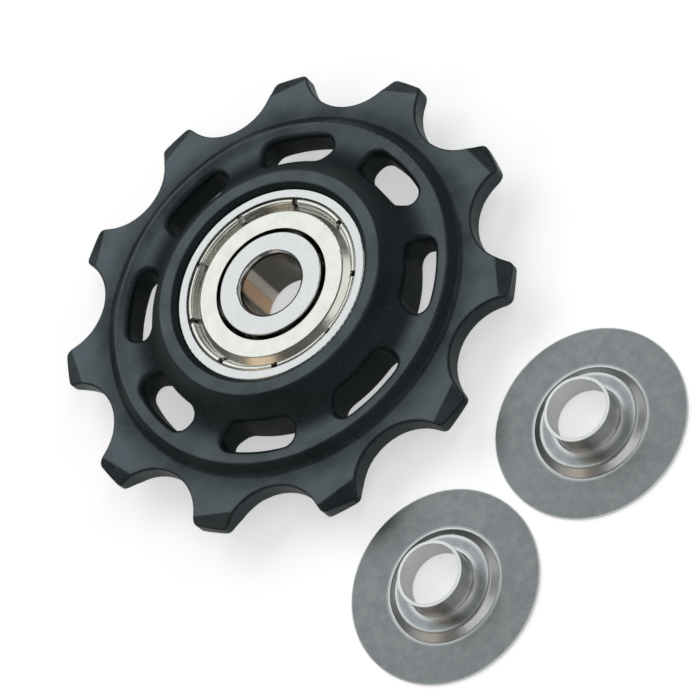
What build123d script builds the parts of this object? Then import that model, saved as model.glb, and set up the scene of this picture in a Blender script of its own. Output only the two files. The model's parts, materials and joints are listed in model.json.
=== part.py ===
from build123d import *
from math import asin, cos, degrees, pi, radians, sin, sqrt, tan
import os

# Derailleur jockey wheel: a toothed wheel on a shielded ball bearing, with its two covers lying beside it.
# Sizes are millimetres. The origin is the bearing's centre, +Z is the axle, and tooth 1 points to -Y.

# Ball bearing
bearing_bore = 6.0
bearing_diameter = 19.0
bearing_width = 6.0
bore_round = 0.43
rim_round = 0.2
land_round = 0.12

# Balls and the grooves that they run in
ball_count = 7
ball_diameter = 3.5
ball_play = 0.02
groove_radius = 1.82
groove_depth = 0.65

# Cage of two pressed ribbons
cage_sheet = 0.3
cage_width = 1.5
pocket_play = 0.08
rivet_margin = 0.08
rivet_shank_diameter = 0.6
rivet_head_height = 0.2

# Shields
shield_sheet = 0.25
shield_gap = 0.4
shield_sink = 0.13
shield_bevel_width = 0.9
shield_valley_sink = 0.75
shield_curl_width = 0.4
shield_curl_sink = 0.1
shield_bend = 0.18
shield_seat_wall = 0.93
shield_seat_depth = 0.95
notch_count = 9
notch_width = 0.55
notch_depth = 0.75
notch_turn = 28.6

# Teeth
tooth_count = 11
chain_pitch = 12.7
roller_seat_depth = 3.58
pocket_radius = 5.0
flank_angle = 15.4
tooth_height = 3.69
tooth_thickness = 1.9
tip_corner = 0.6
tooth_edge = 0.18
facet_inset = 1.18
facet_slope = 18.7
facet_skew = 13.6

# Rim, spokes and hub
rim_ledge = 1.21
rim_slope = 41.4
rim_foot_round = 0.8
rim_crest_round = 0.3
rim_face_width = 1.28
rim_thickness = 3.5
dish_depth = 0.25
spoke_count = 8
spoke_width = 3.7
spoke_sweep = 21.5
window_corner = 1.35
window_edge = 0.5
hub_width = 7.04
hub_wall = 1.65
hub_step = 1.7
hub_edge_round = 0.25
hub_lip = 0.4
cove_radius = 4.25

# Covers
cover_sheet = 0.3
cover_bend = 0.35
cover_rim_gap = 0.75
boss_play = 0.015
boss_length = 2.5
shoulder_height = 0.45
shoulder_diameter = 8.7
shoulder_slope_width = 0.7
cover_space = 1.0
cover_direction = -63.0

# Distance within which a corner counts as lying on a given circle
pick_margin = 0.01

# Places that follow from the sizes above
front = -90.0
bore_radius = bearing_bore / 2
seat_radius = bearing_diameter / 2
half_width = bearing_width / 2
pitch_radius = (bore_radius + seat_radius) / 2
ball_radius = ball_diameter / 2
inner_race_radius = pitch_radius - ball_radius - ball_play
outer_race_radius = pitch_radius + ball_radius + ball_play
inner_land_radius = inner_race_radius + groove_depth
outer_land_radius = outer_race_radius - groove_depth
shield_seat_radius = seat_radius - shield_seat_wall
shield_floor = half_width - shield_seat_depth
tooth_angle = 360 / tooth_count
root_radius = chain_pitch / (2 * sin(pi / tooth_count)) - roller_seat_depth
tip_radius = root_radius + tooth_height
tooth_half = tooth_thickness / 2
rim_half = rim_thickness / 2
rim_foot_radius = root_radius - rim_ledge
rim_top_radius = rim_foot_radius - (rim_half - tooth_half) / tan(radians(rim_slope))
window_outer_radius = rim_top_radius - rim_face_width
hub_half = hub_width / 2
hub_radius = seat_radius + hub_wall
window_inner_radius = hub_radius + hub_step
valley_height = rim_half - dish_depth
cove_rise = hub_half - valley_height
cove_run = sqrt(cove_rise * (2 * cove_radius - cove_rise))
valley_radius = hub_radius + cove_run
boss_radius = bore_radius - boss_play
flange_radius = seat_radius - cover_rim_gap


# A solid turned about the axle from a section drawn with x outward and y up
def turned(section):
    return revolve(Plane.XZ * section, Axis.Z)


# A sheet of one thickness turned about the axle from the middle line of its section
def turned_sheet(points, bend, sheet):
    return turned(trace(FilletPolyline(*points, radius=bend), sheet))


# Copies of one shape spread evenly round the axle, the first at a given angle
def around(shape, count, first_angle):
    return [Rot(0, 0, first_angle + 360 / count * i) * shape for i in range(count)]


# Chain pocket on the +X axis: a round seat whose straight flanks open outward
def chain_pocket():
    seat_centre = root_radius + pocket_radius
    lean = radians(flank_angle) + pi / tooth_count
    start = (seat_centre - pocket_radius * sin(lean), pocket_radius * cos(lean))
    reach = 2 * tooth_height
    mouth = (start[0] + reach * cos(lean), start[1] + reach * sin(lean))
    corners = [start, mouth, (mouth[0], -mouth[1]), (start[0], -start[1])]
    return Pos(seat_centre, 0) * Circle(pocket_radius) + Polygon(*corners, align=None)


# Wedge that slants the front face of a tooth on the +X axis down to its tip, more on one flank
def tip_facet():
    skew = radians(facet_skew)
    run = tooth_height
    drop = run * tan(radians(facet_slope))
    line = Plane(
        origin=(tip_radius - facet_inset, 0, tooth_half),
        x_dir=(cos(skew), sin(skew), 0),
        z_dir=(sin(skew), -cos(skew), 0),
    )
    section = Polygon((-run, drop), (run, -drop), (run, drop), align=None)
    return extrude(line * section, pocket_radius, both=True)


# Flat plate with the teeth
def tooth_plate():
    outline = Circle(tip_radius) - around(chain_pocket(), tooth_count, front + tooth_angle / 2)
    corners = outline.vertices().filter_by(lambda v: Vector(v).length > tip_radius - pick_margin)
    outline = fillet(corners, tip_corner)
    plate = extrude(outline, tooth_half, both=True)
    facet = tip_facet()
    for side in (facet, mirror(facet, about=Plane.XY)):
        plate -= around(side, tooth_count, front)
    outline_edges = plate.edges().filter_by(lambda e: (e @ 0).Z * (e @ 1).Z > 0)
    plate = fillet(outline_edges, tooth_edge)
    return plate - extrude(Circle(rim_top_radius), tooth_half, both=True)


# Hub, dished web and rim before the windows are cut
def hub_and_rim():
    ledge_radius = (rim_foot_radius + root_radius) / 2
    cove_middle_angle = asin(cove_run / cove_radius) / 2
    cove_middle = (
        valley_radius - cove_radius * sin(cove_middle_angle),
        valley_height + cove_radius * (1 - cos(cove_middle_angle)),
    )
    lip = (seat_radius + hub_lip, hub_half)
    hub_edge = (hub_radius, hub_half)
    valley = (valley_radius, valley_height)
    crest = (rim_top_radius, rim_half)
    foot = (rim_foot_radius, tooth_half)
    outline = [
        Polyline((seat_radius, 0), (seat_radius, hub_half - hub_lip), lip, hub_edge),
        ThreePointArc(hub_edge, cove_middle, valley),
        TangentArc(valley, crest, tangent=(1, 0)),
        Polyline(crest, foot, (ledge_radius, tooth_half), (ledge_radius, 0), (seat_radius, 0)),
    ]
    section = make_face(Wire(Curve() + outline))
    rounds = {hub_edge: hub_edge_round, crest: rim_crest_round, foot: rim_foot_round}
    for corner, radius in rounds.items():
        section = fillet(section.vertices().sort_by_distance(corner)[0], radius)
    return turned(section + mirror(section, about=Plane.XZ))


# Windows between straight spokes of one width that lean from the radial line
def windows():
    ring = Circle(window_outer_radius) - Circle(window_inner_radius)
    middle = (window_outer_radius + window_inner_radius) / 2
    bar = Pos(middle, 0) * Rot(0, 0, -spoke_sweep) * Rectangle(2 * hub_radius, spoke_width)
    far_side = Pos(-tip_radius, 0) * Rectangle(2 * tip_radius, 2 * tip_radius)
    openings = ring - around(bar - far_side, spoke_count, front)
    half_height = (window_outer_radius - window_inner_radius) / 2
    corner = min(window_corner, half_height - window_edge / 2)
    return extrude(fillet(openings.vertices(), corner), hub_half, both=True)


def toothed_wheel():
    disc = hub_and_rim()
    openings = windows()
    web = disc - openings
    web = fillet(new_edges(disc, openings, combined=web), window_edge)
    return web + tooth_plate()


def inner_ring():
    depth = inner_land_radius - bore_radius
    section = Pos(bore_radius + depth / 2, 0) * Rectangle(depth, bearing_width)
    section = fillet(section.vertices().group_by(Axis.X)[0], bore_round)
    section = fillet(section.vertices().group_by(Axis.X)[-1], land_round)
    return turned(section - Pos(inner_race_radius + groove_radius, 0) * Circle(groove_radius))


def outer_ring():
    depth = seat_radius - outer_land_radius
    section = Pos(seat_radius - depth / 2, 0) * Rectangle(depth, bearing_width)
    section = fillet(section.vertices().group_by(Axis.X)[-1], rim_round)
    section -= Pos(outer_race_radius - groove_radius, 0) * Circle(groove_radius)
    for side in (1, -1):
        seat_middle = side * (half_width - shield_seat_depth / 2)
        section -= Pos(pitch_radius, seat_middle) * Rectangle(
            2 * (shield_seat_radius - pitch_radius), shield_seat_depth
        )
    return turned(section)


def balls():
    return around(Pos(pitch_radius, 0, 0) * Sphere(ball_radius), ball_count, front)


# Flat length left between two neighbouring pockets of the cage, where the rivet sits
def cage_flat_length():
    pocket_outside = ball_radius + pocket_play + cage_sheet
    return 2 * (pitch_radius * sin(pi / ball_count) - pocket_outside)


def rivet_angle():
    return front + 180 / ball_count


# Front half of the cage: a flat ribbon that bulges round each ball
def cage_half():
    pocket = Pos(pitch_radius, 0, 0) * Sphere(ball_radius + pocket_play)
    bulge = Pos(pitch_radius, 0, 0) * Sphere(ball_radius + pocket_play + cage_sheet)
    band = Circle(pitch_radius + cage_width / 2) - Circle(pitch_radius - cage_width / 2)
    half = extrude(band, cage_sheet) + around(bulge, ball_count, front)
    half = (half & extrude(band, ball_diameter)) - around(pocket, ball_count, front)
    hole = Pos(pitch_radius, 0, 0) * Cylinder(rivet_shank_diameter / 2, bearing_width)
    return half - around(hole, ball_count, rivet_angle())


def cage_rivets():
    head_radius = cage_flat_length() / 2 - rivet_margin
    shank = Cylinder(rivet_shank_diameter / 2, 2 * cage_sheet)
    head = Cylinder(head_radius, rivet_head_height)
    lift = cage_sheet + rivet_head_height / 2
    rivet = shank + Pos(0, 0, lift) * head + Pos(0, 0, -lift) * head
    return around(Pos(pitch_radius, 0, 0) * rivet, ball_count, rivet_angle())


# Front shield: a flat ring, a bevel down to a valley and a curled rim that is notched for crimping
def shield():
    face = half_width - shield_sink - shield_sheet / 2
    crown = half_width - shield_curl_sink - shield_sheet / 2
    rim_radius = shield_seat_radius - shield_sheet / 2
    curl_radius = rim_radius - shield_curl_width
    points = [
        (inner_land_radius + shield_gap, face),
        (curl_radius - shield_bevel_width, face),
        (curl_radius, half_width - shield_valley_sink),
        (curl_radius, crown),
        (rim_radius, crown),
        (rim_radius, shield_floor),
    ]
    notch = Pos(shield_seat_radius, 0, half_width) * Box(2 * notch_depth, notch_width, bearing_width)
    return turned_sheet(points, shield_bend, shield_sheet) - around(notch, notch_count, front + notch_turn)


# Cover pressed from one sheet: a flange, a shoulder that bears on the inner ring and a boss for its bore
def cover():
    low = cover_sheet / 2
    high = low + shoulder_height
    boss_middle = boss_radius - cover_sheet / 2
    shoulder_radius = shoulder_diameter / 2
    points = [
        (flange_radius, low),
        (shoulder_radius + shoulder_slope_width, low),
        (shoulder_radius, high),
        (boss_middle, high),
        (boss_middle, cover_sheet + shoulder_height + boss_length),
    ]
    return turned_sheet(points, cover_bend, cover_sheet)


# The covers lie flat beside each other in front of the wheel, on the plane that its hub rests on
def laid_covers():
    distance = tip_radius + cover_space + flange_radius
    spread = degrees(asin((flange_radius + cover_space / 2) / distance))
    place = Pos(distance, 0, -hub_half)
    return [Rot(0, 0, cover_direction + turn) * place * cover() for turn in (spread, -spread)]


def main():
    parts = {
        "toothed_wheel": toothed_wheel(),
        "outer_ring": outer_ring(),
        "inner_ring": inner_ring(),
        "front_shield": shield(),
        "back_shield": mirror(shield(), about=Plane.XY),
        "cage_front_half": cage_half(),
        "cage_back_half": mirror(cage_half(), about=Plane.XY),
    }
    for number, ball in enumerate(balls(), 1):
        parts[f"ball_{number}"] = ball
    for number, rivet in enumerate(cage_rivets(), 1):
        parts[f"cage_rivet_{number}"] = rivet
    parts["front_cover"], parts["back_cover"] = laid_covers()
    os.makedirs("parts", exist_ok=True)
    for name, shape in parts.items():
        export_step(shape, f"parts/{name}.step")


main()
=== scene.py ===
import json
from math import cos, pi, radians, sin

import bpy
import numpy as np
from mathutils import Matrix, Quaternion, Vector


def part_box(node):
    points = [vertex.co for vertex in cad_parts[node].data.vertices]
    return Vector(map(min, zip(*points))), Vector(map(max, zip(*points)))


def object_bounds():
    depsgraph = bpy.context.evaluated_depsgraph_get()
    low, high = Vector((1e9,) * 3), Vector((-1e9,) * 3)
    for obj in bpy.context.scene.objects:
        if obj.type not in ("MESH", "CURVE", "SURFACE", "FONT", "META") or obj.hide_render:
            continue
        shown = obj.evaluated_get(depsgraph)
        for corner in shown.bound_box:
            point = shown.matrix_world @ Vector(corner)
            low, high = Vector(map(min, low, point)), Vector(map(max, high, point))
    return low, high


# Lengths are in metres and angles in degrees
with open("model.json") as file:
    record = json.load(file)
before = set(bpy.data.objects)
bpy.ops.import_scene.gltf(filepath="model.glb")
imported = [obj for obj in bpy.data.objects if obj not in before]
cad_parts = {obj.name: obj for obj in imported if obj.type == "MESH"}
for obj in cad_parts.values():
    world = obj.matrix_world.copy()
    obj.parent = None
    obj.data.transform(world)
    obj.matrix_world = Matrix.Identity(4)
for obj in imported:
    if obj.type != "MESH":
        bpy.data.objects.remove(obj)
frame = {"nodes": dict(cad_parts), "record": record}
cadBox = [list(corner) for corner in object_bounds()]
scene = bpy.context.scene
axle = (0.0, 0.0, 0.0)  # the wheel turns about the upright line through here
upward = (0.0, 0.0, 1.0)
print("frame loaded:", len(frame["nodes"]), "nodes")


class Wire:  # one socket of a node tree; arithmetic on it adds Math nodes
    def __init__(self, tree, socket=None):
        self.tree = tree
        self.socket = socket

    def node(self, kind, settings, sockets, out=0):  # settings first, then values or links of the sockets
        made = self.tree.nodes.new("ShaderNode" + kind)
        for name, value in settings.items():
            setattr(made, name, value)
        for name, value in sockets.items():
            if isinstance(value, Wire):
                self.tree.links.new(value.socket, made.inputs[name])
            else:
                made.inputs[name].default_value = value
        return Wire(self.tree, made.outputs[out] if made.outputs else None)

    def twin(self, out):  # another output of the same node
        return Wire(self.tree, self.socket.node.outputs[out])

    def math(self, operation, first, second):
        return self.node("Math", {"operation": operation}, {0: first, 1: second})

    def __add__(self, other):
        return self.math("ADD", self, other)

    def __radd__(self, other):
        return self.math("ADD", other, self)

    def __sub__(self, other):
        return self.math("SUBTRACT", self, other)

    def __rsub__(self, other):
        return self.math("SUBTRACT", other, self)

    def __mul__(self, other):
        return self.math("MULTIPLY", self, other)

    def __rmul__(self, other):
        return self.math("MULTIPLY", other, self)

    def __abs__(self):
        return self.math("ABSOLUTE", self, 0.0)

    def swing(self, amount):  # noise about its middle, up to half the amount either way
        return (self - 0.5) * amount

    def step(self, low, high):  # 0 below low and 1 above high, smooth between
        settings = {"interpolation_type": "SMOOTHSTEP"}
        return self.node("MapRange", settings, {"Value": self, "From Min": low, "From Max": high})

    def tint(self, first, second):  # the colour first at 0, second at 1
        # Mix has sockets of one name for each data type: 6, 7 and 2 are the colour's A, B and Result
        return self.node("Mix", {"data_type": "RGBA"}, {"Factor": self, 6: first, 7: second}, 2)

    def vector(self, operation, other=(0.0, 0.0, 0.0), out="Vector"):
        return self.node("VectorMath", {"operation": operation}, {0: self, 1: other}, out)

    def dot(self, other):
        return self.vector("DOT_PRODUCT", other, "Value")

    def noise(self, pattern):  # soft noise on these coordinates, with cells of the pattern's size
        sockets = {"Vector": self, "Scale": 1 / pattern["size"], "Detail": pattern["detail"]}
        return self.node("TexNoise", {}, sockets)

    def patches(self, pattern):  # noise that is 0 below the pattern's span and 1 above it
        return self.noise(pattern).step(*pattern["span"])

    def fromAxis(self, centre):  # the part of these coordinates that points away from an upright axis
        return self.vector("SUBTRACT", centre).vector("MULTIPLY", (1.0, 1.0, 0.0))

    def length(self):
        return self.vector("LENGTH", out="Value")

    def rounded(self, edge):  # the normal, as if edges were rounded
        return self.node("Bevel", {"samples": edge["samples"]}, {"Radius": edge["radius"]})


def shade(red, green, blue):
    return (red, green, blue, 1.0)


def toward(angle):
    return (cos(radians(angle)), sin(radians(angle)), 0.0)


def newMaterial(name):
    made = bpy.data.materials.new(name)
    made.use_nodes = True
    made.node_tree.nodes.clear()
    place = Wire(made.node_tree).node("TexCoord", {}, {}, "Object")
    return made, place


def surface(place, shader):
    place.node("OutputMaterial", {}, {"Surface": shader})


def metalSurface(place, base, roughness, normal):
    surface(place, place.node("BsdfPrincipled", {}, {
        "Base Color": base, "Metallic": 1.0, "Roughness": roughness, "Normal": normal,
    }))


def dress(material, nodes):
    for name in nodes:
        frame["nodes"][name].material_slots[0].material = material


# Moulded resin: nearly black, slate sheen on hub end, rim and tooth tips, matt on walls, edges lighter as
# wear and as a painted highlight
resin = {
    "dark": shade(0.006, 0.009, 0.010),
    "pale": shade(0.012, 0.018, 0.020),
    "speck": shade(0.09, 0.10, 0.105),
    "rubbedAndHighlight": shade(0.034, 0.048, 0.056),
    "cloud": {"size": 0.0030, "detail": 5.0, "span": (0.3, 0.7)},
    "grain": {"size": 0.00011, "detail": 3.0},
    "specks": {"size": 0.00016, "detail": 0.0, "span": (0.73, 0.79), "share": 0.5},
    "edge": {"radius": 0.00024, "samples": 10, "lean": (0.004, 0.08), "share": 0.6},
    "bump": {"Strength": 0.25, "Distance": 0.00002},
    "uneven": {"cloud": 0.10, "grain": 0.15},
    "faceUpright": (0.80, 0.97),  # upright part of the normal, from a wall to a face
    "hubEnd": (0.0112, 0.0118),  # radii, as the next three are
    "rimStart": (0.0137, 0.0159),
    "rimFoot": (0.0166, 0.0176),
    "toothTip": (0.0178, 0.0204),
    "polish": {"rim": 0.66, "footLoss": 0.36, "tipGain": 0.50, "cloud": 0.4, "grain": 0.3},
    "face": {"IOR": 1.7, "Specular IOR Level": 0.80, "Specular Tint": shade(0.775, 0.915, 1.0)},
    "faceRoughness": 0.31,
    "wall": {"Specular IOR Level": 0.38, "Specular Tint": shade(0.72, 0.92, 1.0)},
    "wallRoughness": 0.50,
}


def resinFinish():
    made, place = newMaterial("wheelResin")
    edge, uneven, polish = resin["edge"], resin["uneven"], resin["polish"]
    softNormal = place.rounded(edge)
    lean = 1 - softNormal.dot(place.node("NewGeometry", {}, {}, "Normal"))
    cloud = place.patches(resin["cloud"])
    grain = place.noise(resin["grain"])
    base = cloud.tint(resin["dark"], resin["pale"])
    base = (place.patches(resin["specks"]) * resin["specks"]["share"]).tint(base, resin["speck"])
    # edges lighter in colour: partly wear, partly a painted edge highlight
    base = (lean.step(*edge["lean"]) * edge["share"]).tint(base, resin["rubbedAndHighlight"])
    roughness = cloud.swing(uneven["cloud"]) + grain.swing(uneven["grain"])
    bump = place.node("Bump", {}, {"Height": grain, "Normal": softNormal, **resin["bump"]})
    faceShader = place.node("BsdfPrincipled", {}, {
        "Base Color": base, "Roughness": roughness + resin["faceRoughness"], "Normal": bump, **resin["face"],
    })
    wallShader = place.node("BsdfPrincipled", {}, {
        "Base Color": base, "Roughness": roughness + resin["wallRoughness"], "Normal": bump, **resin["wall"],
    })
    radius = place.fromAxis(axle).length()
    outsideWeb = 1 - radius.step(*resin["hubEnd"]) + radius.step(*resin["rimStart"])
    face = abs(softNormal.dot(upward)).step(*resin["faceUpright"]) * outsideWeb
    worn = polish["rim"] - radius.step(*resin["rimFoot"]) * polish["footLoss"]
    worn = worn + radius.step(*resin["toothTip"]) * polish["tipGain"]
    sheen = face * (worn + cloud.swing(polish["cloud"]) + grain.swing(polish["grain"]))
    surface(place, place.node("MixShader", {}, {0: sheen, 1: wallShader, 2: faceShader}))
    return made


# Ground steel: fine rings from grinding; the bore is darkened as painted shade, crossed by a brown and a
# pale painted reflection
ringSteel = {
    "bright": shade(0.62, 0.615, 0.61),
    "dull": shade(0.50, 0.50, 0.50),
    "filmAndShade": shade(0.19, 0.18, 0.155),
    "brownReflection": {"tint": shade(0.95, 0.66, 0.44), "angle": 151.0, "span": (0.945, 0.99)},
    "paleReflection": {"tint": shade(0.95, 0.90, 0.80), "angle": 129.0, "span": (0.98, 0.998)},
    "reflectionPatch": {"size": 0.0009, "detail": 3.0, "range": 0.8, "least": 0.5},
    "bore": (0.00300, 0.00312),  # radii
    "lines": {"size": 0.00005, "detail": 2.0},
    "stain": {"size": 0.0012, "detail": 4.0},
    "pits": {"size": 0.00014, "detail": 1.0, "span": (0.68, 0.76), "depth": 0.5},
    "wear": {"lines": 0.6, "stain": 0.4, "pits": 0.3, "span": (0.2, 0.8)},
    "bump": {"Strength": 0.14, "Distance": 0.00001},
    "edge": {"radius": 0.00005, "samples": 4},
    "roughness": 0.17,
    "uneven": {"lines": 0.12, "stain": 0.12, "pits": 0.15},
}


def ringFinish():
    made, place = newMaterial("ringSteel")
    wear, uneven, patch = ringSteel["wear"], ringSteel["uneven"], ringSteel["reflectionPatch"]
    away = place.fromAxis(axle)
    radius = away.length()
    height = place.node("SeparateXYZ", {}, {"Vector": place}, "Z")
    lines = place.node("CombineXYZ", {}, {"X": radius, "Y": height}).noise(ringSteel["lines"])
    stain = place.noise(ringSteel["stain"])
    pits = place.patches(ringSteel["pits"])
    runStrength = away.noise(patch) * patch["range"] + patch["least"]
    # painted shade darkens the bore, and the brown and pale runs on it are painted reflections
    filmAndShade = ringSteel["filmAndShade"]
    for reflectionRun in (ringSteel["brownReflection"], ringSteel["paleReflection"]):
        run = away.vector("NORMALIZE").dot(toward(reflectionRun["angle"])).step(*reflectionRun["span"])
        filmAndShade = (run * runStrength).tint(filmAndShade, reflectionRun["tint"])
    worn = lines * wear["lines"] + stain * wear["stain"] - pits * wear["pits"]
    base = worn.step(*wear["span"]).tint(ringSteel["dull"], ringSteel["bright"])
    inBore = 1 - radius.step(*ringSteel["bore"])
    relief = lines - pits * ringSteel["pits"]["depth"]
    softNormal = place.rounded(ringSteel["edge"])
    bump = place.node("Bump", {}, {"Height": relief, "Normal": softNormal, **ringSteel["bump"]})
    roughness = ringSteel["roughness"] + lines.swing(uneven["lines"]) + stain.swing(uneven["stain"])
    metalSurface(place, inBore.tint(base, filmAndShade), roughness + pits * uneven["pits"], bump)
    return made


# Pressed sheet of the shields: bright, with a faint warm cast and polishing marks round the axle
shieldSheet = {
    "bright": shade(0.71, 0.70, 0.65),
    "dull": shade(0.59, 0.58, 0.52),
    "lines": {"size": 0.00009, "detail": 2.0},
    "stain": {"size": 0.0015, "detail": 4.0},
    "dents": {"size": 0.0006, "detail": 1.0},
    "polish": {"lines": 0.4, "stain": 0.6, "span": (0.3, 0.7)},
    "relief": {"lines": 0.3, "dents": 0.7},
    "bump": {"Strength": 0.07, "Distance": 0.00004},
    "edge": {"radius": 0.00006, "samples": 4},
    "roughness": 0.21,
    "uneven": {"lines": 0.08, "stain": 0.12},
}


def shieldFinish():
    made, place = newMaterial("shieldSheet")
    polish, uneven = shieldSheet["polish"], shieldSheet["uneven"]
    radius = place.fromAxis(axle).length()
    lines = place.node("CombineXYZ", {}, {"X": radius}).noise(shieldSheet["lines"])
    stain = place.noise(shieldSheet["stain"])
    dents = place.noise(shieldSheet["dents"])
    polished = (lines * polish["lines"] + stain * polish["stain"]).step(*polish["span"])
    relief = lines * shieldSheet["relief"]["lines"] + dents * shieldSheet["relief"]["dents"]
    softNormal = place.rounded(shieldSheet["edge"])
    bump = place.node("Bump", {}, {"Height": relief, "Normal": softNormal, **shieldSheet["bump"]})
    roughness = shieldSheet["roughness"] + lines.swing(uneven["lines"]) + stain.swing(uneven["stain"])
    metalSurface(place, polished.tint(shieldSheet["dull"], shieldSheet["bright"]), roughness, bump)
    return made


# Cage sheet and rivets: plain pressed steel under a coat of grease, darkened also as painted shade in the
# gap between the rings
cageSheet = {
    "bright": shade(0.34, 0.33, 0.31),
    "oilyAndShaded": shade(0.16, 0.145, 0.12),
    "filmAndShade": {"size": 0.0009, "detail": 4.0, "span": (0.35, 0.65)},
    "grain": {"size": 0.00012, "detail": 2.0},
    "bump": {"Strength": 0.2, "Distance": 0.00001},
    "roughness": 0.36,
    "uneven": 0.25,
}


def cageFinish():
    made, place = newMaterial("cageSheet")
    filmAndShade = place.noise(cageSheet["filmAndShade"])
    # the darker colour is grease and also painted shade in the gap between the rings
    base = filmAndShade.step(*cageSheet["filmAndShade"]["span"]).tint(cageSheet["oilyAndShaded"], cageSheet["bright"])
    bump = place.node("Bump", {}, {"Height": place.noise(cageSheet["grain"]), **cageSheet["bump"]})
    metalSurface(place, base, cageSheet["roughness"] + filmAndShade.swing(cageSheet["uneven"]), bump)
    return made


# Balls: polished steel under a thin uneven coat of grease, darkened also as painted shade in the gap between
# the rings
ballSteel = {
    "bright": shade(0.46, 0.465, 0.47),
    "filmedAndShaded": shade(0.22, 0.205, 0.18),
    "filmAndShade": {"size": 0.0011, "detail": 3.0, "span": (0.4, 0.7)},
    "grain": {"size": 0.00015, "detail": 1.0},
    "bump": {"Strength": 0.05, "Distance": 0.00001},
    "roughness": 0.14,
    "filmGain": 0.14,
}


def ballFinish():
    made, place = newMaterial("ballSteel")
    filmAndShade = place.patches(ballSteel["filmAndShade"])
    # the darker colour is grease and also painted shade in the gap between the rings
    base = filmAndShade.tint(ballSteel["bright"], ballSteel["filmedAndShaded"])
    bump = place.node("Bump", {}, {"Height": place.noise(ballSteel["grain"]), **ballSteel["bump"]})
    metalSurface(place, base, ballSteel["roughness"] + filmAndShade * ballSteel["filmGain"], bump)
    return made


# Pressed cover sheet: satin grey, polished by the tools on its boss and its shoulder; its cut edge is bright
# as tool polish and as a painted highlight
coverSheet = {
    "pale": shade(0.375, 0.395, 0.395),
    "grey": shade(0.30, 0.32, 0.325),
    "burnishedAndHighlight": shade(0.74, 0.75, 0.74),
    "boss": (0.0031, 0.0036),  # radii, as the next two are
    "shoulder": (0.0040, 0.0043, 0.0051, 0.0055),
    "cutEdge": (0.00862, 0.00873),
    "shoulderShare": 0.75,
    "lines": {"size": 0.00012, "detail": 2.0},
    "grain": {"size": 0.00020, "detail": 3.0},
    "cloud": {"size": 0.0009, "detail": 5.0},
    "mottle": {"grain": 0.4, "cloud": 0.6, "span": (0.35, 0.65)},
    "relief": {"grain": 0.6, "lines": 0.4},
    "bump": {"Strength": 0.12, "Distance": 0.00002},
    "edge": {"radius": 0.00006, "samples": 4},
    "roughness": 0.46,
    "drawnLoss": 0.15,
    "uneven": {"grain": 0.12, "lines": 0.08},
}


def coverFinish(name, centre):
    made, place = newMaterial(name)
    mottle, uneven = coverSheet["mottle"], coverSheet["uneven"]
    radius = place.fromAxis(centre).length()
    inner, rising, falling, outer = coverSheet["shoulder"]
    boss = 1 - radius.step(*coverSheet["boss"])
    drawn = 1 - radius.step(falling, outer)
    ridge = radius.step(inner, rising) * drawn
    # the bright cut edge is partly tool polish, partly a painted highlight on the lit rim
    burnishAndHighlight = boss + ridge * coverSheet["shoulderShare"] + radius.step(*coverSheet["cutEdge"])
    lines = place.node("CombineXYZ", {}, {"X": radius}).noise(coverSheet["lines"])
    grain = place.noise(coverSheet["grain"])
    cloud = place.noise(coverSheet["cloud"])
    mottled = (grain * mottle["grain"] + cloud * mottle["cloud"]).step(*mottle["span"])
    base = burnishAndHighlight.tint(mottled.tint(coverSheet["grey"], coverSheet["pale"]), coverSheet["burnishedAndHighlight"])
    relief = grain * coverSheet["relief"]["grain"] + lines * coverSheet["relief"]["lines"]
    softNormal = place.rounded(coverSheet["edge"])
    bump = place.node("Bump", {}, {"Height": relief, "Normal": softNormal, **coverSheet["bump"]})
    roughness = coverSheet["roughness"] - drawn * coverSheet["drawnLoss"]
    roughness = roughness + grain.swing(uneven["grain"]) + lines.swing(uneven["lines"])
    metalSurface(place, base, roughness, bump)
    return made


def dressNodes():
    bodies = frame["record"]["behaviour"]["bodies"]
    dress(resinFinish(), ["toothed_wheel"])
    dress(ringFinish(), ["outer_ring", "inner_ring"])
    dress(shieldFinish(), ["front_shield", "back_shield"])
    dress(cageFinish(), bodies["cage"])
    dress(ballFinish(), [name for name in frame["nodes"] if name.startswith("ball_")])
    for name in ("front_cover", "back_cover"):
        low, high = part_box(name)
        dress(coverFinish(name + "_sheet", (low + high) / 2), [name])
    print("materials on", len(frame["nodes"]), "nodes")


# Pale floor: plain paper under the lamps, white to the camera but for the shadow, and pale in metal
floor = {
    "side": 6.0,
    "paper": shade(0.9, 0.9, 0.9),
    "whitePaper": shade(1.26, 1.26, 1.26),
    "whiteGlow": 0.49,
    "mirrorGlow": 0.73,
    "shadeReach": 0.006,
    "shadeSamples": 4,
}


def makeFloor():  # a flat square round the axle, level with the lowest point of the part
    across = np.array([-0.5, 0.5]) * floor["side"]
    x, y = np.meshgrid(across, across)
    z = np.full_like(x, cadBox[0][2])
    points = np.stack([x, y, z], axis=-1).reshape(-1, 3)
    mesh = bpy.data.meshes.new("floor")
    mesh.from_pydata(points.tolist(), [], [(0, 1, 3, 2)])
    made, place = newMaterial("floorPaper")
    camera = place.node("LightPath", {}, {}, "Is Camera Ray")
    mirrored = camera.twin("Is Glossy Ray") + camera.twin("Is Transmission Ray")
    samples = {"samples": floor["shadeSamples"]}
    # the glow seen in metal fades where the part covers the floor: painted shade under the part
    openness = place.node("AmbientOcclusion", samples, {"Distance": floor["shadeReach"]}, "AO")
    glowLevel = camera * floor["whiteGlow"] + mirrored * openness * floor["mirrorGlow"]
    paper = place.node("BsdfDiffuse", {}, {"Color": camera.tint(floor["paper"], floor["whitePaper"])})
    glow = place.node("Emission", {}, {"Color": glowLevel})
    surface(place, place.node("AddShader", {}, {0: paper, 1: glow}))
    mesh.materials.append(made)
    sheet = bpy.data.objects.new("floor", mesh)
    scene.collection.objects.link(sheet)
    print("floor laid at", round(cadBox[0][2], 5))


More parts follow.
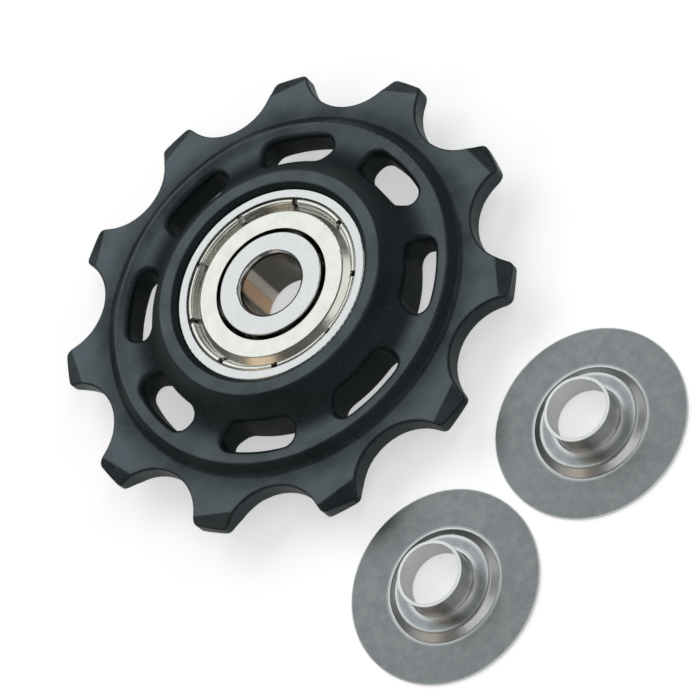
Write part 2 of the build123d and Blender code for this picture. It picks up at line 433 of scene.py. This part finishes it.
# Studio: a large soft box behind the part, strips beside and in front, a warm lamp, dim panels and room
studio = {
    "room": shade(0.11, 0.11, 0.11),
    "distance": 2.5,
    "plainTint": (1.0, 1.0, 1.0),
    "tints": {"softBox": (0.94, 0.985, 1.0), "warmLamp": (1.0, 0.78, 0.52)},
    "lamps": {
        "softBox": {"azimuth": 116.0, "elevation": 46.5, "turn": 0.0, "size": (2.5, 1.5), "level": 1.27},
        "sideStrip": {"azimuth": 13.0, "elevation": 59.5, "turn": -41.0, "size": (2.3, 0.40), "level": 1.4},
        "frontStrip": {"azimuth": -62.0, "elevation": 54.0, "turn": 0.0, "size": (2.6, 0.36), "level": 1.7},
        "warmLamp": {"azimuth": -158.0, "elevation": 48.0, "turn": 0.0, "size": (0.8, 0.8), "level": 1.0},
        "rightPanel": {"azimuth": 26.0, "elevation": 27.0, "turn": 0.0, "size": (2.2, 0.9), "level": 0.42},
        "nearPanel": {"azimuth": -64.0, "elevation": 25.0, "turn": 0.0, "size": (2.2, 0.9), "level": 0.42},
        "leftPanel": {"azimuth": -154.0, "elevation": 27.0, "turn": 0.0, "size": (2.2, 0.9), "level": 0.42},
    },
}


def makeLamp(name):  # lamps of one level look equally bright in a mirror, whatever their size
    setting = studio["lamps"][name]
    data = bpy.data.lights.new(name, "AREA")
    data.shape = "RECTANGLE"
    data.size, data.size_y = setting["size"]
    data.color = studio["tints"].get(name, studio["plainTint"])
    data.energy = setting["level"] * pi * data.size * data.size_y
    lamp = bpy.data.objects.new(name, data)
    up, along = radians(setting["elevation"]), radians(setting["azimuth"])
    way = Vector((cos(up) * cos(along), cos(up) * sin(along), sin(up)))
    lamp.location = way * studio["distance"]
    turn = Quaternion(upward, radians(setting["turn"]))
    lamp.rotation_euler = (way.to_track_quat("Z", "Y") @ turn).to_euler()
    scene.collection.objects.link(lamp)


def makeStudio():
    for name in studio["lamps"]:
        makeLamp(name)
    world = bpy.data.worlds.new("room")
    world.use_nodes = True
    world.node_tree.nodes.clear()
    scene.world = world
    room = Wire(world.node_tree)
    room.node("OutputWorld", {}, {"Surface": room.node("Background", {}, {"Color": studio["room"]})})
    scene.view_settings.view_transform = "Standard"
    print("studio lit by", len(studio["lamps"]), "lamps")


# Camera: the photograph's view, drawn back a little so that both covers are whole in the frame
photoView = {
    "azimuth": 26.33,
    "elevation": 52.43,
    "roll": -47.65,
    "distance": 0.2596,
    "target": (0.00336, -0.0033, -0.0034),
    "lens": 148.1,  # millimetres
    "shift": (0.010, -0.034),  # shares of the picture's width
    "nearest": 0.01,
}


def makeCamera():
    data = bpy.data.cameras.new("photoCamera")
    data.lens = photoView["lens"]
    data.shift_x, data.shift_y = photoView["shift"]
    data.clip_start = photoView["nearest"]
    camera = bpy.data.objects.new("photoCamera", data)
    turn, tilt, roll = (radians(photoView[name]) for name in ("azimuth", "elevation", "roll"))
    ahead = Vector((-sin(turn) * cos(tilt), cos(turn) * cos(tilt), -sin(tilt)))
    level = Vector((cos(turn), sin(turn), 0.0))
    above = level.cross(ahead)
    right = level * cos(roll) + above * sin(roll)
    up = above * cos(roll) - level * sin(roll)
    eye = Vector(photoView["target"]) - ahead * photoView["distance"]
    turned = Matrix((right, up, -ahead)).transposed().to_4x4()
    camera.matrix_world = Matrix.Translation(eye) @ turned
    scene.collection.objects.link(camera)
    scene.camera = camera
    print("camera at", [round(value, 4) for value in eye])


dressNodes()
makeFloor()
makeStudio()
makeCamera()
